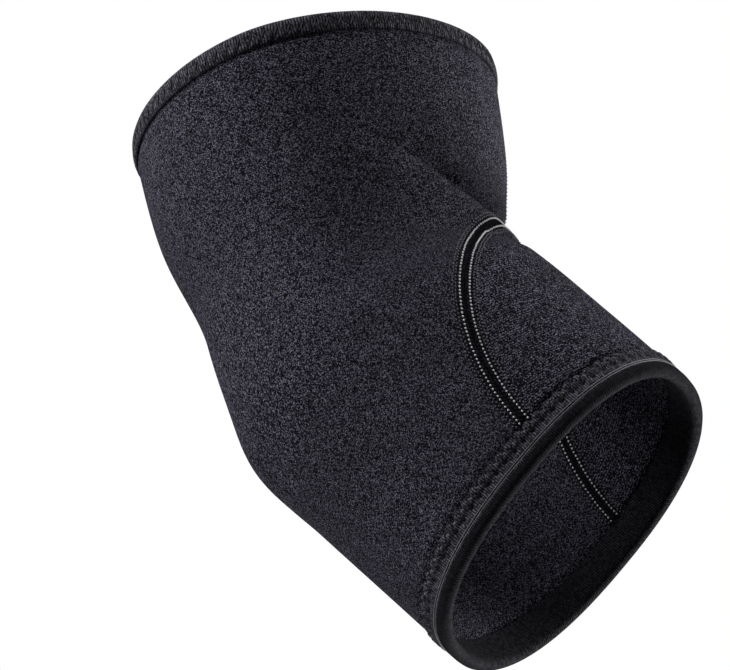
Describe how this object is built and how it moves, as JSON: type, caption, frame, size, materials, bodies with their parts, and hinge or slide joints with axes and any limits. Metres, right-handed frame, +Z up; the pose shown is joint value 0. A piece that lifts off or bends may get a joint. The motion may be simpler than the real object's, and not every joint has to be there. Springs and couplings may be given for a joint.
{
  "type": "elbow brace",
  "caption": "Pull-on elbow sleeve of knit-faced foam rubber, bent as worn, with an arched insert below the crook and taped rims.",
  "frame": {"origin": "the elbow's centre, where the axes of the upper arm and the forearm cross", "axes": "+Z up the upper arm, +X to the crook, and the forearm runs down and to +X in the XZ plane, 33.7 degrees off -Z"},
  "size_m": [0.1421, 0.1196, 0.1792],
  "materials": {
    "sleeve_knit": "matte heathered knit on foam rubber",
    "panel_knit": "matte heathered knit on foam rubber, its rib on the slant",
    "binding_tape": "finely ribbed knit tape",
    "seam_thread": "off-white sewing thread, slightly glossy",
    "dark_thread": "near-black sewing thread, slightly glossy"
  },
  "bodies": {
    "root": {"sleeve_body": "sleeve_knit", "crook_panel": "panel_knit", "upper_arm_binding": "binding_tape", "forearm_binding": "binding_tape"}
  },
  "joints": []
}
